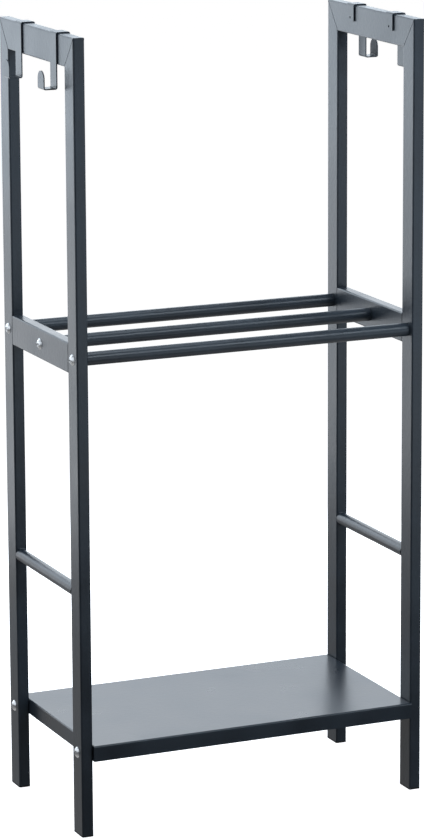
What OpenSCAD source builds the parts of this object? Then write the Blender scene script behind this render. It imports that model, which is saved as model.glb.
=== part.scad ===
// Free-standing steel storage rack: two welded tube side frames joined by three
// round rods and a folded sheet-metal bottom shelf, with four loose over-rail hooks.
// Origin: centre of the footprint, on the floor. +X to the right, -Y to the front, +Z up.

/* [Overall] */
// Width over the outer faces of the two side frames
rack_w = 470; // [390:1:570]
// Depth of a side frame, front face to rear face
frame_d = 250; // [205:1:305]
// Height from the floor to the top of the side frames
rack_h = 1000; // [820:1:1210]

/* [Frame tube] */
// Thickness of every frame tube across the frame, along X
tube_t = 15; // [12:0.5:20]
// Width of an upright along Y
upright_w = 30; // [24:0.5:36]
// Height of the top rail and of the mid rail
rail_h = 38; // [30:0.5:46]
// Wall of the frame tube
tube_wall = 1.5; // [1:0.1:2]
// Outside corner radius of the frame tube
tube_r = 2; // [1.8:0.1:3]

/* [Levels] */
// Height of the centre line of the mid rails and of the three rods
rod_z = 605; // [495:1:730]
// Height of the centre line of the lower rungs
rung_z = 311; // [255:1:375]
// Height of the shelf's top face
shelf_z = 118; // [96:1:142]

/* [Rods and rungs] */
// Outside diameter of the three rods that join the side frames
rod_d = 17; // [16:0.5:22]
// Wall of the rods
rod_wall = 1.5; // [1.2:0.1:2]
// Outside diameter of the lower rung of a side frame
rung_d = 16; // [12:0.5:20]
// Wall of the rungs
rung_wall = 1.2; // [1:0.1:2]
// Length of the threaded insert in each rod end
insert_len = 20; // [17:1:30]

/* [Shelf] */
// Thickness of the shelf's sheet metal
sheet_t = 1.2; // [0.8:0.1:1.6]
// Height of the flange folded down round the shelf, its outside
flange_h = 20; // [17:0.5:30]
// Inside radius of the shelf's folds
fold_r = 1; // [0.5:0.1:2]
// How far the shelf's front stands out past the front uprights
shelf_overhang = 5; // [0:0.5:10]
// How far the shelf's rear stays inside the rear face of the frame
shelf_setback = 3; // [0:0.5:10]
// Width of the open slit where a side flange ends behind the front or rear fold
corner_slit = 0.4; // [0.2:0.1:2]

/* [Screws] */
// Thread diameter of every screw
screw_d = 6; // [5:0.5:7]
// Diameter of the screw's mushroom head
head_d = 14; // [12:0.5:16]
// Height of the screw's head
head_h = 3.4; // [2.5:0.1:4]
// Length of a rod screw's thread inside its insert
rod_screw_bite = 15; // [10:1:19]
// Length of a shelf screw's thread past its weld nut
shelf_screw_spare = 1.8; // [0:0.1:5]
// Depth of the cross recess in the head
recess_depth = 2; // [1:0.1:2.4]
// Length of one bar of the cross recess
recess_len = 6.4; // [4:0.1:8]
// Width of one bar of the cross recess
recess_w = 1.3; // [0.8:0.1:2]
// Side of the square weld nuts under the shelf
nut_w = 10; // [9:0.5:13]
// Thickness of a weld nut
nut_t = 5; // [4:0.5:6]

/* [Hooks] */
// Width of the hook strip
hook_w = 20; // [18:0.5:30]
// Thickness of the hook strip
hook_t = 1.5; // [1.5:0.1:3]
// Length of the short lip behind the rail, from the rail's top down
lip_len = 20.5; // [14:0.5:26]
// Depth of the hook's floor below the rail's top, its underside
hook_drop = 68; // [56:1:90]
// Clear width of the hook's mouth
mouth_w = 15; // [12:0.5:24]
// Height of the upturned tip above the hook's underside
tip_h = 23; // [18:0.5:34]
// Inside radius of the hook's bends
bend_r = 1.2; // [1:0.1:1.8]
// Diameter of the small hole in the lip
lip_hole_d = 3.2; // [2:0.1:5]
// Height of that hole above the lip's lower end
lip_hole_up = 4.6; // [3.5:0.1:6]
// Distance of each rear hook's centre behind the middle of the rail
rear_hook_y = 54; // [20:1:80]
// Distance of the left front hook's centre in front of the middle of the rail
left_hook_y = 64; // [20:1:80]
// Distance of the right front hook's centre in front of the middle of the rail
right_hook_y = 58; // [20:1:80]

/* [Foot plugs] */
// Thickness of the plug's rim that the tube stands on
plug_rim = 2; // [1.5:0.5:4]
// How far the plug reaches up into the tube
plug_depth = 14; // [8:1:25]

/* [Clearances] */
// Radial clearance of a screw in its drilled hole
hole_gap = 0.3; // [0.1:0.05:0.5]
// Radial clearance of a thread in its nut or insert
thread_gap = 0.05; // [0.02:0.01:0.1]
// Radial clearance of an insert in its rod
insert_gap = 0.05; // [0.02:0.01:0.1]
// Clearance of a foot plug in its tube, each side
plug_gap = 0.1; // [0.05:0.05:0.3]
// Clearance between the rail and a hook's lip or strip, each side
hook_gap = 0.4; // [0.3:0.1:0.9]
// Height that a hook's bridge is clear of the rail's top
hook_lift = 0.3; // [0.1:0.1:0.6]

/* [Hidden] */
$fn = 48;

LEFT = -1;
RIGHT = 1;
FRONT = -1;
REAR = 1;
coat = "#3b4046";
zinc = "#c9ccd0";
plastic = "#15161a";
// reach of a cutting tool past the material that it cuts
past = 1;

// the shelf stands out at the front only, so the frame sits that much behind the footprint's middle
frame_y = shelf_overhang / 2;
inner_x = rack_w / 2 - tube_t;
tube_x = rack_w / 2 - tube_t / 2;
upright_y = frame_d / 2 - upright_w / 2;
rail_len = frame_d - 2 * upright_w;
rod_len = 2 * inner_x;
insert_d = rod_d - 2 * rod_wall - 2 * insert_gap;
hole_d = screw_d + 2 * hole_gap;
thread_d = screw_d + 2 * thread_gap;
rod_screw_len = tube_t + rod_screw_bite;
shelf_screw_len = tube_t + sheet_t + nut_t + shelf_screw_spare;
tube_inner_r = max(tube_r - tube_wall, 0.3);

shelf_w = 2 * inner_x;
shelf_front = -frame_d / 2 - shelf_overhang;
shelf_rear = frame_d / 2 - shelf_setback;
// room that a fold takes from the flat of the shelf
fold_out = fold_r + sheet_t;
shelf_screw_z = shelf_z - flange_h / 2 - 1;

// the hook's section, measured from the middle of the rail
hook_in = tube_t / 2 + hook_gap;
hook_out = hook_in + hook_t;
tip_in = hook_out + mouth_w;
bridge_z = rack_h + hook_lift;
hook_floor_z = rack_h - hook_drop;
lip_end_z = rack_h - lip_len;

// Rectangle with round corners, centred
module round_rect(w, h, r) {
    square([w - 2 * r, h], center = true);
    square([w, h - 2 * r], center = true);
    for (sx = [-1, 1], sy = [-1, 1])
        translate([sx * (w / 2 - r), sy * (h / 2 - r)])
            circle(r = r);
}

// Section of a rectangular tube
module tube_section(w, h) {
    difference() {
        round_rect(w, h, tube_r);
        round_rect(w - 2 * tube_wall, h - 2 * tube_wall, tube_inner_r);
    }
}

// Round bar along X, centred on the origin
module bar_x(d, len) {
    rotate([0, 90, 0])
        cylinder(d = d, h = len, center = true);
}

// Round tube along Z, centred on the origin
module round_tube(d, wall, len) {
    difference() {
        cylinder(d = d, h = len, center = true);
        cylinder(d = d - 2 * wall, h = len + 2 * past, center = true);
    }
}

// The mitre between an upright and its top rail runs from the frame's outer top corner to the inside
// corner. This cuts away what lies above the mitre, or under it, at one end of a side frame.
module past_mitre(side, end, above) {
    outer = frame_d / 2;
    inner = outer - upright_w;
    slope = rail_h / upright_w;
    low = rack_h - rail_h - slope * past;
    high = rack_h + slope * past;
    third = above ? [inner - past, high] : [outer + past, low];
    translate([side * tube_x, frame_y, 0])
        mirror([0, end == FRONT ? 1 : 0, 0])
            rotate([90, 0, 90])
                linear_extrude(tube_t + 2 * past, center = true)
                    polygon([[outer + past, high], [inner - past, low], third]);
}

module upright(side, end) {
    color(coat)
    difference() {
        translate([side * tube_x, frame_y + end * upright_y, plug_rim])
            linear_extrude(rack_h - plug_rim)
                tube_section(tube_t, upright_w);
        past_mitre(side, end, above = true);
        for (z = [rod_z, shelf_screw_z])
            translate([side * tube_x, frame_y + end * upright_y, z])
                bar_x(hole_d, tube_t + 2 * past);
    }
}

module top_rail(side) {
    color(coat)
    difference() {
        translate([side * tube_x, frame_y, rack_h - rail_h / 2])
            rotate([90, 0, 0])
                linear_extrude(frame_d, center = true)
                    tube_section(tube_t, rail_h);
        for (end = [FRONT, REAR])
            past_mitre(side, end, above = false);
    }
}

module mid_rail(side) {
    color(coat)
    translate([side * tube_x, frame_y, rod_z])
        difference() {
            rotate([90, 0, 0])
                linear_extrude(rail_len, center = true)
                    tube_section(tube_t, rail_h);
            bar_x(hole_d, tube_t + 2 * past);
        }
}

module lower_rung(side) {
    color(coat)
    translate([side * tube_x, frame_y, rung_z])
        rotate([90, 0, 0])
            round_tube(rung_d, rung_wall, rail_len);
}

// y is the place of the rod: -1 at the front uprights, 0 at the mid rails, 1 at the rear uprights
module rod(y) {
    color(coat)
    translate([0, frame_y + y * upright_y, rod_z])
        rotate([0, 90, 0])
            round_tube(rod_d, rod_wall, rod_len);
}

module rod_inserts(y) {
    color(zinc)
    for (side = [LEFT, RIGHT])
        translate([side * (rod_len / 2 - insert_len / 2), frame_y + y * upright_y, rod_z])
            rotate([0, 90, 0])
                round_tube(insert_d, (insert_d - thread_d) / 2, insert_len);
}

// Mushroom-head screw with a cross recess. Its head's underside is at the origin and its
// thread runs along -Z.
module screw(len, turn) {
    // radius of the sphere that gives the head its dome
    dome_r = (head_d * head_d / 4 + head_h * head_h) / (2 * head_h);
    difference() {
        union() {
            rotate_extrude()
                intersection() {
                    translate([0, head_h - dome_r])
                        circle(r = dome_r, $fn = 96);
                    square([head_d / 2 + past, head_h + past]);
                }
            translate([0, 0, -len])
                cylinder(d = screw_d, h = len + head_h / 2);
        }
        for (a = [0, 90])
            rotate([0, 0, turn + a])
                translate([0, 0, head_h - recess_depth / 2 + past / 2])
                    cube([recess_len, recess_w, recess_depth + past], center = true);
    }
}

module side_screw(side, y, z, len, turn) {
    translate([side * rack_w / 2, frame_y + y, z])
        rotate([0, side * 90, 0])
            screw(len, turn);
}

module rod_screws(side) {
    color(zinc)
    for (y = [-1, 0, 1])
        side_screw(side, y * upright_y, rod_z, rod_screw_len, 20 + 25 * y);
}

module shelf_screws(side) {
    color(zinc)
    for (end = [FRONT, REAR])
        side_screw(side, end * upright_y, shelf_screw_z, shelf_screw_len, 45);
}

// Section of a folded flange: the fold starts at the origin on the shelf's flat, and the flange
// hangs at +X
module flange_section() {
    translate([0, -fold_out])
        intersection() {
            difference() {
                circle(r = fold_out);
                circle(r = fold_r);
            }
            square(fold_out);
        }
    translate([fold_r, -flange_h])
        square([sheet_t, flange_h - fold_out]);
}

module flange(len) {
    rotate([90, 0, 0])
        linear_extrude(len, center = true)
            flange_section();
}

module shelf_tray() {
    flat_w = shelf_w - 2 * fold_out;
    flat_d = shelf_rear - shelf_front - 2 * fold_out;
    middle_y = frame_y + (shelf_rear + shelf_front) / 2;
    color(coat)
    difference() {
        translate([0, middle_y, shelf_z]) {
            translate([0, 0, -sheet_t / 2])
                cube([flat_w, flat_d, sheet_t], center = true);
            for (turn = [0, 180])
                rotate([0, 0, turn])
                    translate([flat_w / 2, 0, 0])
                        flange(flat_d - 2 * corner_slit);
            for (turn = [90, 270])
                rotate([0, 0, turn])
                    translate([flat_d / 2, 0, 0])
                        flange(shelf_w);
        }
        for (side = [LEFT, RIGHT], end = [FRONT, REAR])
            translate([side * inner_x, frame_y + end * upright_y, shelf_screw_z])
                bar_x(hole_d, 2 * (sheet_t + past));
    }
}

module shelf_weld_nuts() {
    color(zinc)
    for (side = [LEFT, RIGHT], end = [FRONT, REAR])
        translate([side * (inner_x - sheet_t - nut_t / 2), frame_y + end * upright_y, shelf_screw_z])
            difference() {
                cube([nut_t, nut_w, nut_w], center = true);
                bar_x(thread_d, nut_t + 2 * past);
            }
}

module foot_plug(side, end) {
    wall_room = 2 * (tube_wall + plug_gap);
    color(plastic)
    translate([side * tube_x, frame_y + end * upright_y, 0]) {
        linear_extrude(plug_rim)
            round_rect(tube_t, upright_w, tube_r);
        translate([0, 0, plug_rim])
            linear_extrude(plug_depth)
                round_rect(tube_t - wall_room, upright_w - wall_room, tube_inner_r);
    }
}

// Quarter ring that turns a strip round a corner: its centre is at the origin, and it fills the
// quarter of the plane that sx and sy point to
module strip_bend(sx, sy) {
    scale_x = sx < 0 ? 1 : 0;
    scale_y = sy < 0 ? 1 : 0;
    mirror([scale_x, 0])
        mirror([0, scale_y])
            intersection() {
                difference() {
                    circle(r = bend_r + hook_t);
                    circle(r = bend_r);
                }
                square(bend_r + hook_t);
            }
}

// The hook's side view without its tip: lip, bridge over the rail, long strip and floor.
// X is measured from the middle of the rail, outwards, and Y is the height.
module hook_profile() {
    bend_out = bend_r + hook_t;
    // lip behind the rail
    translate([-hook_out, lip_end_z])
        square([hook_t, bridge_z - bend_r - lip_end_z]);
    translate([-hook_in + bend_r, bridge_z - bend_r])
        strip_bend(-1, 1);
    // bridge over the rail
    translate([-hook_in + bend_r, bridge_z])
        square([2 * hook_in - 2 * bend_r, hook_t]);
    translate([hook_in - bend_r, bridge_z - bend_r])
        strip_bend(1, 1);
    // long strip down the outside
    translate([hook_in, hook_floor_z + bend_out])
        square([hook_t, bridge_z - bend_r - hook_floor_z - bend_out]);
    translate([hook_out + bend_r, hook_floor_z + bend_out])
        strip_bend(-1, -1);
    // floor of the mouth
    translate([hook_out + bend_r, hook_floor_z])
        square([mouth_w - 2 * bend_r, hook_t]);
    translate([tip_in - bend_r, hook_floor_z + bend_out])
        strip_bend(1, -1);
}

// Upturned tip with a round end, seen along X from its bend up
module hook_tip() {
    round_z = tip_h - hook_w / 2;
    root = bend_r + hook_t;
    translate([tip_in, 0, hook_floor_z])
        rotate([90, 0, 90])
            linear_extrude(hook_t)
                intersection() {
                    union() {
                        translate([-hook_w / 2, 0])
                            square([hook_w, round_z]);
                        translate([0, round_z])
                            circle(d = hook_w);
                    }
                    translate([-hook_w / 2, root])
                        square([hook_w, tip_h - root]);
                }
}

module hook(side, y) {
    color(coat)
    translate([side * tube_x, frame_y + y, 0])
        mirror([side == LEFT ? 1 : 0, 0, 0])
            difference() {
                union() {
                    rotate([90, 0, 0])
                        linear_extrude(hook_w, center = true)
                            hook_profile();
                    hook_tip();
                }
                translate([-hook_in, 0, lip_end_z + lip_hole_up])
                    bar_x(lip_hole_d, 2 * (hook_t + hook_gap));
            }
}

upright(LEFT, FRONT);  // left_front_upright
upright(LEFT, REAR);  // left_rear_upright
top_rail(LEFT);  // left_top_rail
mid_rail(LEFT);  // left_mid_rail
lower_rung(LEFT);  // left_lower_rung
upright(RIGHT, FRONT);  // right_front_upright
upright(RIGHT, REAR);  // right_rear_upright
top_rail(RIGHT);  // right_top_rail
mid_rail(RIGHT);  // right_mid_rail
lower_rung(RIGHT);  // right_lower_rung
rod(-1);  // front_rod
rod(0);  // middle_rod
rod(1);  // rear_rod
rod_inserts(-1);  // front_rod_inserts
rod_inserts(0);  // middle_rod_inserts
rod_inserts(1);  // rear_rod_inserts
rod_screws(LEFT);  // left_rod_screws
rod_screws(RIGHT);  // right_rod_screws
shelf_tray();
shelf_weld_nuts();
shelf_screws(LEFT);  // left_shelf_screws
shelf_screws(RIGHT);  // right_shelf_screws
foot_plug(LEFT, FRONT);  // left_front_foot_plug
foot_plug(LEFT, REAR);  // left_rear_foot_plug
foot_plug(RIGHT, FRONT);  // right_front_foot_plug
foot_plug(RIGHT, REAR);  // right_rear_foot_plug
hook(LEFT, -left_hook_y);  // left_front_hook
hook(LEFT, rear_hook_y);  // left_rear_hook
hook(RIGHT, -right_hook_y);  // right_front_hook
hook(RIGHT, rear_hook_y);  // right_rear_hook
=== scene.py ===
# %% [markdown]
# # A coated steel storage rack
# The rack is cut from rectangular and round steel tube, welded into two side frames, coated with
# powder and screwed together with three rods and a folded shelf. Its exact shape comes from the CAD
# model, so nothing here moves or resizes it. What is left to make is what the eye reads as coated
# metal: the weld seams, the softened edges of cut sheet, the film of powder, the bright screws and the
# light that shows them. The CAD model is loaded first, because every later piece takes its place from it.

import math

import bmesh
import bpy
from mathutils import Matrix, Vector


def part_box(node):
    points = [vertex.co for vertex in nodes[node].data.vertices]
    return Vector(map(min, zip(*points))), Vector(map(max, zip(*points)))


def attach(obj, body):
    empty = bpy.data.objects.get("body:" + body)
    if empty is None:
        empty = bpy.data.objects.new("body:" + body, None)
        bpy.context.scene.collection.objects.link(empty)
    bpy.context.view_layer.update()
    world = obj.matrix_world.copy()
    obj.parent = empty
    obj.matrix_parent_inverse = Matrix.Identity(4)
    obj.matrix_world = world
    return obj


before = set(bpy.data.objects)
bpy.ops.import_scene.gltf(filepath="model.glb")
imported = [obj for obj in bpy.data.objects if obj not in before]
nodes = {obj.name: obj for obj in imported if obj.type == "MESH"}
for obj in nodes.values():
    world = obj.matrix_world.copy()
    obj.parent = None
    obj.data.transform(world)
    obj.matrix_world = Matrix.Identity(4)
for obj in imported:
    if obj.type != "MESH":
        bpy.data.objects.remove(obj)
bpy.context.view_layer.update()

# %% [markdown]
# Sizes on such a rack are read in millimetres, and Blender counts in metres. One factor keeps both
# readable. The places of the tubes come from their boxes, so that this script follows the CAD model
# if a size in it changes.

# %% Where the tubes are
mm = 0.001
SIDES = {"left": -1, "right": 1}
ENDS = {"front": -1, "rear": 1}


def middle(node):
    low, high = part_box(node)
    return (low + high) / 2


rack_middle = middle("left_top_rail").y
rack_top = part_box("left_top_rail")[1].z
print(f"the frames are centred on y = {rack_middle / mm:.1f} mm and {rack_top / mm:.0f} mm tall")

# %% [markdown]
# A material is a small network of nodes. One helper adds a node, sets what is fixed on it and links
# what feeds it, which keeps each recipe short. Colours are written as the hex values that a designer
# would pick on a screen. Cycles counts light in linear steps, so one function turns the first into the
# second. A noise pattern is described by how far apart its lumps are, and another function turns that
# distance into the node's scale.

# %% Helpers for materials
def linear(hex_colour):
    shares = [int(hex_colour[i:i + 2], 16) / 255 for i in (1, 3, 5)]
    return [s / 12.92 if s <= 0.04045 else ((s + 0.055) / 1.055) ** 2.4 for s in shares] + [1.0]


def add(tree, kind, feeds=None, **settings):
    node = tree.nodes.new(kind)
    for name, value in settings.items():
        setattr(node, name, value)
    for socket, value in (feeds or {}).items():
        if isinstance(value, bpy.types.NodeSocket):
            tree.links.new(value, node.inputs[socket])
        else:
            node.inputs[socket].default_value = value
    return node


def new_material(name):
    material = bpy.data.materials.new(name)
    material.use_nodes = True
    material.node_tree.nodes.clear()
    tree = material.node_tree
    shader = add(tree, "ShaderNodeBsdfPrincipled")
    add(tree, "ShaderNodeOutputMaterial", {"Surface": shader.outputs["BSDF"]})
    places = add(tree, "ShaderNodeTexCoord").outputs["Object"]
    return material, tree, shader, places


def spacing(size_in_mm):
    """The scale that gives a noise pattern lumps this many millimetres apart."""
    return 1 / (size_in_mm * mm)


print("lumps 5 mm apart need a noise scale of", round(spacing(5)))

# %% [markdown]
# ## Powder coat
# The tubes are sprayed with dry polyester powder and baked. The film flows out to a satin skin that is
# never quite level: long low waves some millimetres apart and finer ones on top, together called orange
# peel. The film is a little thicker in some places, so its grey drifts slightly over a hand's width, and
# the pigment gives it a faint speckle. The waves and the speckle are drawn somewhat coarser than they
# are, so that they still show on a rack a metre tall. The waves could be real geometry, but they are far
# too low to change an outline, so a bump is enough.

# %% Powder coat
ANTHRACITE_DARK, ANTHRACITE_LIGHT = "#262d35", "#2f3841"
# distances in millimetres
DRIFT_APART, SPECKS_APART, LONG_PEEL_APART, SHORT_PEEL_APART = 70, 1.4, 5, 1.8
SPECK_SHARE = 0.2
COATING_IOR = 1.5


def powder_coat(name, smooth, rough, peel_height):
    """Satin polyester powder coat: smooth and rough bound its roughness, peel_height is its orange peel."""
    material, tree, shader, places = new_material(name)
    drift = add(tree, "ShaderNodeTexNoise", {"Vector": places, "Scale": spacing(DRIFT_APART), "Detail": 2.0})
    pigment = add(tree, "ShaderNodeTexNoise", {"Vector": places, "Scale": spacing(SPECKS_APART),
                                               "Detail": 1.0})
    cloud = add(tree, "ShaderNodeMapRange", {"Value": drift.outputs["Fac"], "From Min": 0.35,
                                             "From Max": 0.65})
    specks = add(tree, "ShaderNodeMapRange", {"Value": pigment.outputs["Fac"], "From Min": 0.3,
                                              "From Max": 0.7,
                                              "To Min": -SPECK_SHARE, "To Max": SPECK_SHARE})
    share = add(tree, "ShaderNodeMath", {0: cloud.outputs["Result"], 1: specks.outputs["Result"]},
                operation="ADD", use_clamp=True)
    colour = add(tree, "ShaderNodeMix", {"Factor": share.outputs[0], "A": linear(ANTHRACITE_DARK),
                                         "B": linear(ANTHRACITE_LIGHT)}, data_type="RGBA")
    film = add(tree, "ShaderNodeMapRange", {"Value": drift.outputs["Fac"], "From Min": 0.3, "From Max": 0.7,
                                            "To Min": smooth, "To Max": rough})
    waves = add(tree, "ShaderNodeTexNoise", {"Vector": places, "Scale": spacing(LONG_PEEL_APART),
                                             "Detail": 1.0})
    lumps = add(tree, "ShaderNodeTexNoise", {"Vector": places, "Scale": spacing(SHORT_PEEL_APART),
                                             "Detail": 1.0})
    long_peel = add(tree, "ShaderNodeBump", {"Height": waves.outputs["Fac"], "Strength": 1.0,
                                             "Distance": peel_height})
    short_peel = add(tree, "ShaderNodeBump", {"Height": lumps.outputs["Fac"], "Strength": 1.0,
                                              "Distance": peel_height / 4,
                                              "Normal": long_peel.outputs["Normal"]})
    tree.links.new(colour.outputs["Result"], shader.inputs["Base Color"])
    tree.links.new(film.outputs["Result"], shader.inputs["Roughness"])
    tree.links.new(short_peel.outputs["Normal"], shader.inputs["Normal"])
    shader.inputs["IOR"].default_value = COATING_IOR
    return material


# the tubes show the most orange peel, and on the flat shelf the film levels best
coat_tube = powder_coat("powder_coat_on_steel_tube", 0.30, 0.38, 0.16 * mm)
coat_sheet = powder_coat("powder_coat_on_folded_sheet", 0.27, 0.32, 0.07 * mm)
coat_strip = powder_coat("powder_coat_on_hook_strip", 0.30, 0.38, 0.08 * mm)
print("powder coats:", [m.name for m in bpy.data.materials if m.name.startswith("powder")])

# %% [markdown]
# ## Zinc
# The screws are steel with a thin bright zinc plating. It mirrors the room softly, because its crystals
# are tiny and lie every way. Turned rings round each head would need the distance from that screw's own
# axis, and there are ten screws, so the plating is drawn as fine uneven grain, which needs no axis. The
# grain is coarser than real crystals, so that it shows. The nuts and the inserts are out of sight and
# have a plainer, greyer plating, from the same recipe.

# %% Zinc plating on the screws and on the hidden nuts
# distances in millimetres
CLOUDS_APART, GRAIN_APART = 2.5, 0.5
GRAIN_HEIGHT = 0.02 * mm


def zinc_plate(name, dull, bright, smooth, rough):
    """Zinc plating: dull and bright are the two shades that its crystals drift between."""
    material, tree, shader, places = new_material(name)
    clouds = add(tree, "ShaderNodeTexNoise", {"Vector": places, "Scale": spacing(CLOUDS_APART),
                                              "Detail": 3.0})
    share = add(tree, "ShaderNodeMapRange", {"Value": clouds.outputs["Fac"], "From Min": 0.35,
                                             "From Max": 0.65})
    colour = add(tree, "ShaderNodeMix", {"Factor": share.outputs["Result"], "A": linear(dull),
                                         "B": linear(bright)}, data_type="RGBA")
    film = add(tree, "ShaderNodeMapRange", {"Value": clouds.outputs["Fac"], "From Min": 0.3, "From Max": 0.7,
                                            "To Min": smooth, "To Max": rough})
    grain = add(tree, "ShaderNodeTexNoise", {"Vector": places, "Scale": spacing(GRAIN_APART), "Detail": 1.0})
    skin = add(tree, "ShaderNodeBump", {"Height": grain.outputs["Fac"], "Strength": 0.3,
                                        "Distance": GRAIN_HEIGHT})
    tree.links.new(colour.outputs["Result"], shader.inputs["Base Color"])
    tree.links.new(film.outputs["Result"], shader.inputs["Roughness"])
    tree.links.new(skin.outputs["Normal"], shader.inputs["Normal"])
    shader.inputs["Metallic"].default_value = 1.0
    return material


zinc_bright = zinc_plate("bright_zinc_on_screws", "#d0d2d4", "#eeeff0", 0.36, 0.48)
zinc_plain = zinc_plate("plain_zinc_on_nuts_and_inserts", "#8f9396", "#b3b6b8", 0.34, 0.48)
print("zinc:", zinc_bright.name, zinc_plain.name)

# %% [markdown]
# ## Black polyethylene
# The plugs that close the legs are moulded from soft black polyethylene. The mould is spark-eroded, which
# leaves a fine even texture, and the plastic scuffs to a paler grey where the rack has been pushed about.
# Two noise patterns make that: a wide one that picks the scuffed patches, and a fine one for the texture.

# %% Moulded plastic of the foot plugs
# distances in millimetres
SCUFFS_APART, TEXTURE_APART = 6, 0.6
TEXTURE_HEIGHT = 0.04 * mm
POLYETHYLENE_ROUGHNESS, POLYETHYLENE_IOR = 0.62, 1.51


def moulded_plastic(name, fresh, scuffed):
    """Matt moulded polyethylene with the texture of its mould."""
    material, tree, shader, places = new_material(name)
    wear = add(tree, "ShaderNodeTexNoise", {"Vector": places, "Scale": spacing(SCUFFS_APART), "Detail": 4.0})
    share = add(tree, "ShaderNodeMapRange", {"Value": wear.outputs["Fac"], "From Min": 0.55, "From Max": 0.8})
    colour = add(tree, "ShaderNodeMix", {"Factor": share.outputs["Result"], "A": linear(fresh),
                                         "B": linear(scuffed)}, data_type="RGBA")
    texture = add(tree, "ShaderNodeTexNoise", {"Vector": places, "Scale": spacing(TEXTURE_APART),
                                               "Detail": 2.0})
    skin = add(tree, "ShaderNodeBump", {"Height": texture.outputs["Fac"], "Strength": 0.5,
                                        "Distance": TEXTURE_HEIGHT})
    tree.links.new(colour.outputs["Result"], shader.inputs["Base Color"])
    tree.links.new(skin.outputs["Normal"], shader.inputs["Normal"])
    shader.inputs["Roughness"].default_value = POLYETHYLENE_ROUGHNESS
    shader.inputs["IOR"].default_value = POLYETHYLENE_IOR
    return material


plug_plastic = moulded_plastic("moulded_black_polyethylene", "#0b0b0d", "#1d1e20")
print("plastic:", plug_plastic.name)

# %% [markdown]
# Every piece of the CAD model is named for what it is, and the end of the name says what it is made of. A
# finish could be set on each of the thirty by hand, but one list of name endings is shorter, and a piece
# that is added later finds its finish by itself. A finish goes into the slots that the mesh has.

# %% Give every CAD node its finish
FINISHES = {"upright": coat_tube, "rail": coat_tube, "rung": coat_tube, "rod": coat_tube,
            "shelf_tray": coat_sheet, "hook": coat_strip, "screws": zinc_bright,
            "inserts": zinc_plain, "nuts": zinc_plain, "plug": plug_plastic}
for name, node in nodes.items():
    finish = next(FINISHES[ending] for ending in FINISHES if name.endswith(ending))
    for slot in node.material_slots:
        slot.material = finish
print({name: node.material_slots[0].material.name for name, node in nodes.items()})

# %% [markdown]
# ## Weld metal
# The welds are the only pieces that this script adds to the CAD model. Each is shaped in a bmesh and then
# kept in the same way: its normals are turned outwards, it gets its finish, and it rides on the welded
# rack, so that it goes wherever the rack goes. Weld metal is never quite even, so a smooth wobble is
# needed too. Random numbers would do, but sines of a point's place give the same weld each time.

# %% Keeping a piece, and making it a little uneven
def keep_as(bm, name, finish):
    bmesh.ops.recalc_face_normals(bm, faces=bm.faces)
    mesh = bpy.data.meshes.new(name)
    bm.to_mesh(mesh)
    bm.free()
    mesh.materials.append(finish)
    for face in mesh.polygons:
        face.use_smooth = True
    piece = bpy.data.objects.new(name, mesh)
    bpy.context.scene.collection.objects.link(piece)
    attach(piece, "rack")
    return piece


def uneven(point, step):
    """A smooth, repeatable wobble between -1 and 1 from where a point lies, with waves about step apart."""
    # the factors share no divisor, so the waves don't fall into step
    a = math.sin(point.x / step * 5.1 + point.y / step * 6.3 + 1.3)
    b = math.sin(point.z / step * 7.7 - point.y / step * 3.9 + 0.4)
    return 0.5 * (a + b)


wobbles = [uneven(Vector((0, 0, height * mm)), 14 * mm) for height in range(100)]
print(f"along an upright the wobble runs from {min(wobbles):.2f} to {max(wobbles):.2f}")

# %% [markdown]
# ## Ground mitre seams
# At the top of each side frame the rail and the uprights are cut at a slant and welded. The weld is ground
# almost flush before coating, so what is left is a faint raised line across each flat side. It could be
# painted with a bump, but a real low ridge catches the light from every side, so it is modelled: a thin
# round bar, flattened until it stands only a quarter of a millimetre proud, and made a little uneven.

# %% Mitre seams
SEAM_WIDE, SEAM_PROUD = 1.7 * mm, 0.25 * mm
SEAM_SIDES, SEAM_CUTS = 12, 30
# what the seam's two ends leave free together, where the tube's corners are round
SEAM_SHORT = 5 * mm
SEAM_WANDER, WANDER_STEP = 0.18 * mm, 14 * mm


def mitre_seam(side, end, face_x):
    upright = middle(f"{side}_{end}_upright")
    upright_low, upright_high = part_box(f"{side}_{end}_upright")
    rail_low, rail_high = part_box(f"{side}_top_rail")
    half_width = (upright_high.y - upright_low.y) / 2
    top_corner = Vector((face_x, upright.y + ENDS[end] * half_width, rack_top))
    low_corner = Vector((face_x, upright.y - ENDS[end] * half_width, rack_top - (rail_high.z - rail_low.z)))
    along = (low_corner - top_corner).normalized()
    outwards = Vector((1, 0, 0))
    across = along.cross(outwards)
    length = (low_corner - top_corner).length - SEAM_SHORT
    bm = bmesh.new()
    bmesh.ops.create_cone(bm, cap_ends=True, segments=SEAM_SIDES, radius1=SEAM_WIDE / 2,
                          radius2=SEAM_WIDE / 2, depth=length)
    long_edges = [e for e in bm.edges if e.calc_length() > length / 2]
    bmesh.ops.subdivide_edges(bm, edges=long_edges, cuts=SEAM_CUTS)
    bmesh.ops.scale(bm, verts=bm.verts, vec=(2 * SEAM_PROUD / SEAM_WIDE, 1, 1))
    turn = Matrix((outwards, across, along)).transposed()
    bmesh.ops.rotate(bm, verts=bm.verts, cent=(0, 0, 0), matrix=turn)
    bmesh.ops.translate(bm, verts=bm.verts, vec=(top_corner + low_corner) / 2)
    for vert in bm.verts:
        vert.co += across * uneven(vert.co, WANDER_STEP) * SEAM_WANDER
    flat = "outer" if abs(face_x) > abs(upright.x) else "inner"
    return keep_as(bm, f"{side}_{end}_{flat}_mitre_seam", coat_tube)


seams = []
for side in SIDES:
    low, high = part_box(f"{side}_top_rail")
    seams += [mitre_seam(side, end, face_x) for end in ENDS for face_x in (low.x, high.x)]
print(len(seams), "seams, such as", seams[0].name, "with", len(seams[0].data.polygons), "faces")

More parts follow.
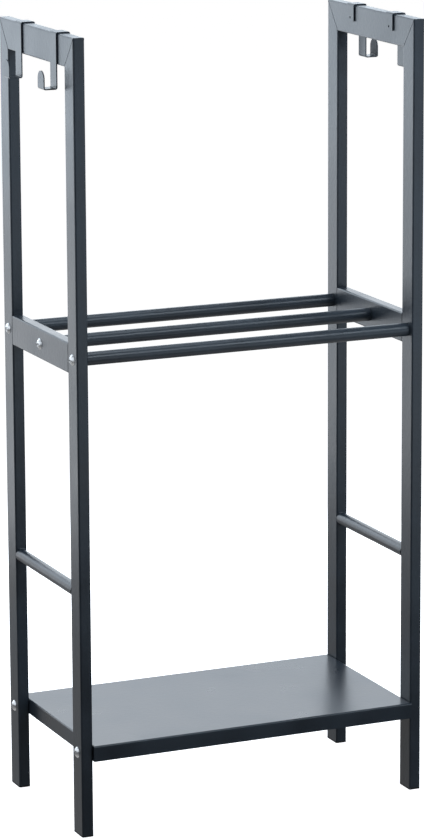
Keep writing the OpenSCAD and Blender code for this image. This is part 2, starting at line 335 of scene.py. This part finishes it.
# %% [markdown]
# ## Weld beads at the rungs
# Each rung is a round tube that butts against the flat of an upright, and it is a little wider than that
# tube. The welder can only lay a bead over the top and under the bottom, where there is flat to weld to.
# A bead is a small round section carried along an arc, with ripples where the pool froze step by step, so
# a circle is spun round the rung's axis and its rings are then swelled in turn.

# %% Weld beads
BEAD_RADIUS, BEAD_SIDES, BEAD_STEPS = 1.7 * mm, 10, 28
BEAD_REACH = math.radians(46)
RIPPLE_SHARE, RIPPLE_RATE = 0.16, 58
# share of its radius that the bead loses at its two ends, and how suddenly it does
END_TAPER, TAPER_POWER = 0.55, 4


def rung_bead(side, end, above):
    low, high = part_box(f"{side}_lower_rung")
    centre = (low + high) / 2
    radius = (high.z - low.z) / 2
    root = Vector((centre.x, low.y if end == "front" else high.y, centre.z))
    bm = bmesh.new()
    ring = bmesh.ops.create_circle(bm, cap_ends=True, segments=BEAD_SIDES, radius=BEAD_RADIUS)
    stood_up = Matrix.Rotation(math.radians(90), 3, "Y")
    bmesh.ops.rotate(bm, verts=ring["verts"], cent=(0, 0, 0), matrix=stood_up)
    bmesh.ops.translate(bm, verts=ring["verts"], vec=(0, 0, radius))
    to_the_start = Matrix.Rotation(-BEAD_REACH, 3, "Y")
    bmesh.ops.rotate(bm, verts=ring["verts"], cent=(0, 0, 0), matrix=to_the_start)
    bmesh.ops.spin(bm, geom=bm.faces[:] + bm.edges[:] + bm.verts[:], cent=(0, 0, 0), axis=(0, 1, 0),
                   dvec=(0, 0, 0), angle=2 * BEAD_REACH, steps=BEAD_STEPS, use_duplicate=False)
    for vert in bm.verts:
        angle = math.atan2(vert.co.x, vert.co.z)
        heart = Vector((math.sin(angle), 0, math.cos(angle))) * radius
        ripple = RIPPLE_SHARE * math.sin(angle * RIPPLE_RATE)
        taper = END_TAPER * (abs(angle) / BEAD_REACH) ** TAPER_POWER
        vert.co = heart + (vert.co - heart) * (1 + ripple - taper)
    if not above:
        bmesh.ops.rotate(bm, verts=bm.verts, cent=(0, 0, 0), matrix=Matrix.Rotation(math.pi, 3, "Y"))
    bmesh.ops.remove_doubles(bm, verts=bm.verts, dist=0.001 * mm)
    bmesh.ops.translate(bm, verts=bm.verts, vec=root)
    place = "over" if above else "under"
    return keep_as(bm, f"{side}_{end}_rung_bead_{place}", coat_tube)


beads = [rung_bead(side, end, above) for side in SIDES for end in ENDS for above in (True, False)]
print(len(beads), "beads, such as", beads[0].name, "with", len(beads[0].data.polygons), "faces")

# %% [markdown]
# ## Softened edges
# The hooks are punched from strip, so their edges are not knife sharp, and coating rounds them further. A
# thin bevel is what makes such an edge catch light. The CAD mesh is loose triangles, so its corners are
# joined before the bevel can find an edge. Modifiers do both, and leave the CAD mesh itself as it is.

# %% Bevel the edges of the hooks
HOOK_EDGE = 0.35 * mm
# where the surface turns by less than this it is part of a bend, and stays as it is
SHARP_FROM = math.radians(40)


def soften(node, width):
    weld = node.modifiers.new("join_corners", "WELD")
    weld.merge_threshold = 0.002 * mm
    bevel = node.modifiers.new("soft_edge", "BEVEL")
    bevel.width = width
    bevel.segments = 2
    bevel.limit_method = "ANGLE"
    bevel.angle_limit = SHARP_FROM
    bevel.miter_outer = "MITER_ARC"
    level = node.modifiers.new("even_shading", "WEIGHTED_NORMAL")
    level.weight = 80


for name, node in nodes.items():
    if name.endswith("hook"):
        soften(node, HOOK_EDGE)
print("softened:", [n for n in nodes if nodes[n].modifiers])

# %% [markdown]
# ## Floor
# The floor is a wide pale plane, and it is there for the camera only. The rack's own rays don't see it,
# because a white floor would grey the dark faces that look down. It glows by itself, so that it stays an
# even white up to the horizon.

# %% Floor
FLOOR_SIZE = 80
FLOOR_GLOW, FLOOR_ROUGHNESS = 0.95, 0.9
bpy.ops.mesh.primitive_plane_add(size=FLOOR_SIZE)
floor = bpy.context.object
floor.name = "studio_floor"
floor_material, _, floor_shader, _ = new_material("pale_studio_floor")
floor_shader.inputs["Base Color"].default_value = linear("#f4f4f4")
floor_shader.inputs["Roughness"].default_value = FLOOR_ROUGHNESS
floor_shader.inputs["Emission Color"].default_value = linear("#ffffff")
floor_shader.inputs["Emission Strength"].default_value = FLOOR_GLOW
floor.data.materials.append(floor_material)
for kind_of_ray in ("diffuse", "glossy", "shadow"):
    setattr(floor, f"visible_{kind_of_ray}", False)
print("floor:", floor.name, "of", FLOOR_SIZE, "m")

# %% [markdown]
# ## Air
# Light that comes from everywhere would flatten the tubes, because each of their sides would get the same.
# So the air is dark, apart from two soft glows: one from behind the rack, as a bright wall would give, and
# one from below, for the undersides. The world shader gives each direction its own brightness.

# %% Air: dim, a little brighter behind the rack and below it
world = bpy.data.worlds.new("studio_air")
bpy.context.scene.world = world
world.use_nodes = True
air = world.node_tree
towards = add(air, "ShaderNodeTexCoord").outputs["Generated"]


def glow(direction, power, strength):
    """Brightness that is strongest in one direction and fades to nothing at right angles to it."""
    facing = add(air, "ShaderNodeVectorMath", {0: towards, 1: direction}, operation="DOT_PRODUCT")
    ahead = add(air, "ShaderNodeMath", {0: facing.outputs["Value"], 1: 0.0}, operation="MAXIMUM")
    narrow = add(air, "ShaderNodeMath", {0: ahead.outputs[0], 1: power}, operation="POWER")
    return add(air, "ShaderNodeMath", {0: narrow.outputs[0], 1: strength}, operation="MULTIPLY").outputs[0]


from_behind = glow((0, 1, 0), power=3, strength=0.53)
from_below = glow((0, 0, -1), power=2, strength=0.73)
both = add(air, "ShaderNodeMath", {0: from_behind, 1: from_below}, operation="ADD")
air.links.new(both.outputs[0], air.nodes["Background"].inputs["Strength"])
air.nodes["Background"].inputs["Color"].default_value = (1, 1, 1, 1)
print("air:", len(air.nodes), "nodes")

# %% [markdown]
# ## Soft panels
# Dark coated steel shows its room more than its own colour. Flat faces mirror it softly, so each group of
# faces takes its tone from one direction: the outer side faces from behind on the left, the shelf and the
# tops from behind on the right, the narrow front faces from the front on the right. The room is therefore
# built of soft panels standing at those places, in bands that are brighter higher up, as beside a tall
# window. One panel lies overhead.

# %% Soft panels
COOL, PALE = "#e4f2ff", "#f0f7ff"
BACK_LEFT, BACK_RIGHT = (-0.39, 0.89, 0), (0.39, 0.89, 0)
FRONT_RIGHT, LEFT = (0.45, -0.89, 0), (-1.0, 0.1, 0)


def soft_panel(name, around, distance, low, high, width, watts, colour):
    """An upright panel from height low to height high, in the direction around, facing the rack."""
    lamp = bpy.data.lights.new(name, "AREA")
    lamp.shape = "RECTANGLE"
    lamp.size = width
    lamp.size_y = high - low
    lamp.energy = watts
    lamp.color = linear(colour)[:3]
    panel = bpy.data.objects.new(name, lamp)
    bpy.context.scene.collection.objects.link(panel)
    way = Vector(around).normalized()
    panel.location = (way.x * distance, way.y * distance, (low + high) / 2)
    panel.rotation_euler = Vector((-way.x, -way.y, 0)).to_track_quat("-Z", "Y").to_euler()
    panel.visible_camera = False
    return panel


# direction; distance, lower edge, upper edge and width in metres; watts; colour
soft_panel("back_left_low", BACK_LEFT, 1.4, 0.02, 0.6, 1.3, 3.6, PALE)
soft_panel("back_left_middle", BACK_LEFT, 1.4, 0.6, 0.9, 1.3, 3.4, COOL)
soft_panel("back_left_high", BACK_LEFT, 1.4, 0.9, 1.7, 1.3, 7.0, COOL)
soft_panel("back_right_low", BACK_RIGHT, 1.5, 0.15, 0.6, 1.8, 3.7, COOL)
soft_panel("back_right_middle", BACK_RIGHT, 1.5, 0.6, 1.1, 1.8, 6.1, PALE)
soft_panel("back_right_high", BACK_RIGHT, 1.5, 1.1, 1.8, 1.8, 9.0, COOL)
soft_panel("front_right_low", FRONT_RIGHT, 1.5, 0.02, 0.9, 1.3, 4.6, COOL)
soft_panel("front_right_high", FRONT_RIGHT, 1.5, 1.4, 2.0, 1.3, 16.0, COOL)
soft_panel("left", LEFT, 1.8, 0.4, 1.7, 2.0, 13.0, PALE)
# made as an upright panel over the rack's middle, and then laid flat to shine down
overhead = soft_panel("overhead", BACK_LEFT, 0, 1.7, 2.9, 1.4, 18.5, COOL)
overhead.rotation_euler = (0, 0, 0)

# %% [markdown]
# ## Camera
# The camera stands well back in front of the rack, to its left and half a metre higher than its top, and
# looks down on it. A long lens from far away keeps the tubes nearly parallel. Three angles are turned
# into three axes: where the camera looks, what is right of it and what is up. The lens is shifted a
# little, so that the rack sits in the frame as it should without turning the camera.

# %% Camera
YAW, PITCH, ROLL = math.radians(24.316), math.radians(11.625), math.radians(-0.150)
STANDS_AT = (-1.8924, -4.3234, 1.5429)
LENS_MM = 162.71
SHIFT_X, SHIFT_Y = -0.0543, -0.0786
SEES_AS_FAR_AS = 200
ahead = Vector((math.sin(YAW) * math.cos(PITCH), math.cos(YAW) * math.cos(PITCH), -math.sin(PITCH)))
right = Vector((math.cos(YAW), -math.sin(YAW), 0))
up = right.cross(ahead)
right_rolled = right * math.cos(ROLL) + up * math.sin(ROLL)
up_rolled = up * math.cos(ROLL) - right * math.sin(ROLL)
camera_data = bpy.data.cameras.new("camera")
camera = bpy.data.objects.new("camera", camera_data)
bpy.context.scene.collection.objects.link(camera)
turn = Matrix((right_rolled, up_rolled, -ahead)).transposed()
camera.matrix_world = Matrix.Translation(STANDS_AT) @ turn.to_4x4()
camera_data.lens = LENS_MM
camera_data.shift_x = SHIFT_X
camera_data.shift_y = SHIFT_Y
camera_data.clip_end = SEES_AS_FAR_AS
bpy.context.scene.camera = camera
bpy.context.scene.view_settings.view_transform = "Standard"
print("camera at", [round(v, 3) for v in camera.location], "lens", round(camera_data.lens, 2))
